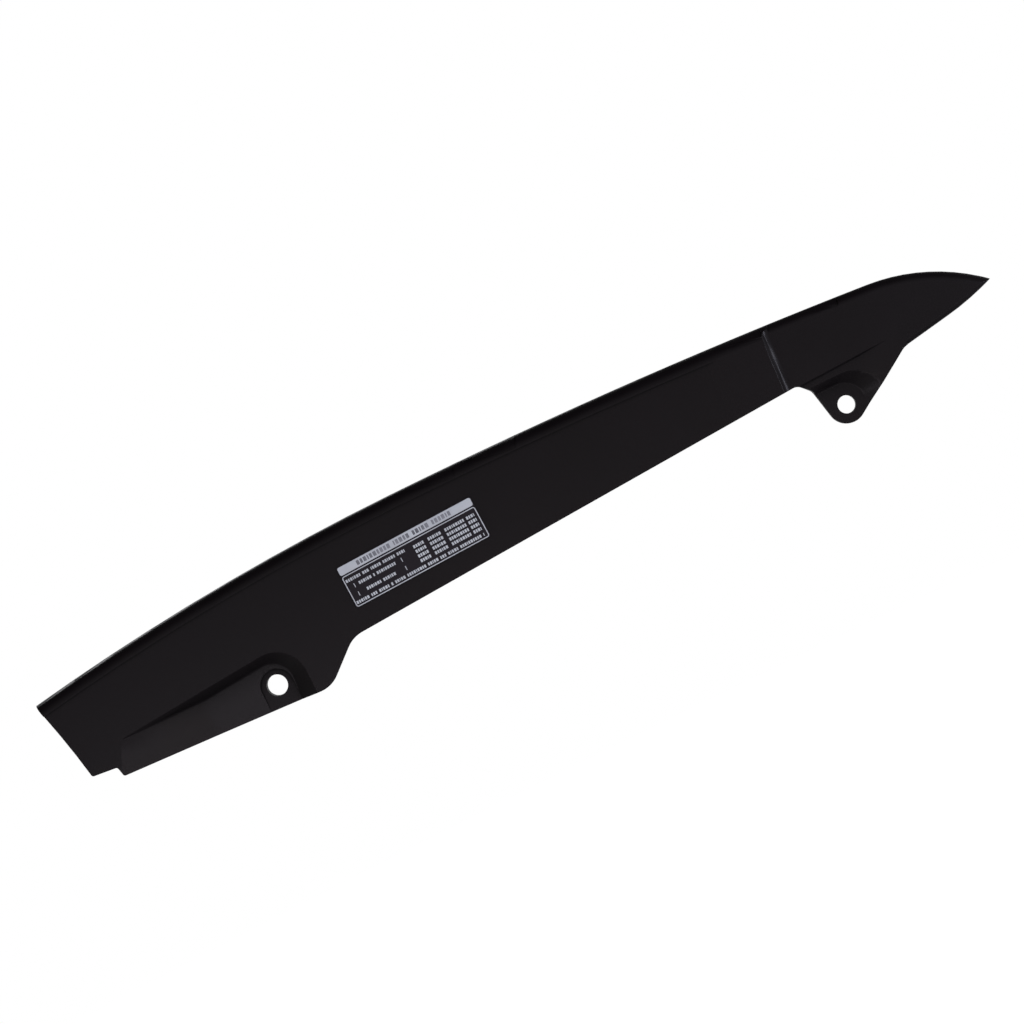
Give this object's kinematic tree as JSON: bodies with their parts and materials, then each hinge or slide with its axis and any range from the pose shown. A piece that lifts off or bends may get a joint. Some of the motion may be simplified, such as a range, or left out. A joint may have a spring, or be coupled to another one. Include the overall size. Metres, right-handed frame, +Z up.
{
  "type": "motorcycle chain guard",
  "caption": "Long moulded cover over the upper run of a motorcycle's drive chain: side plate with recessed bolt seats, rounded shoulder, lipped top and pointed tail.",
  "frame": {"origin": "centre of the front bolt hole, on the boss face that seats on the swing arm", "axes": "+X rearwards along the line from the front bolt hole to the rear one, +Y inboard towards the wheel, +Z up"},
  "size_m": [0.4995, 0.036, 0.0697],
  "materials": {
    "guard_plastic": "satin black, finely textured moulding",
    "label_film": "dark film with silver print"
  },
  "bodies": {
    "root": {"chain_guard": "guard_plastic", "information_label": "label_film"}
  },
  "joints": []
}
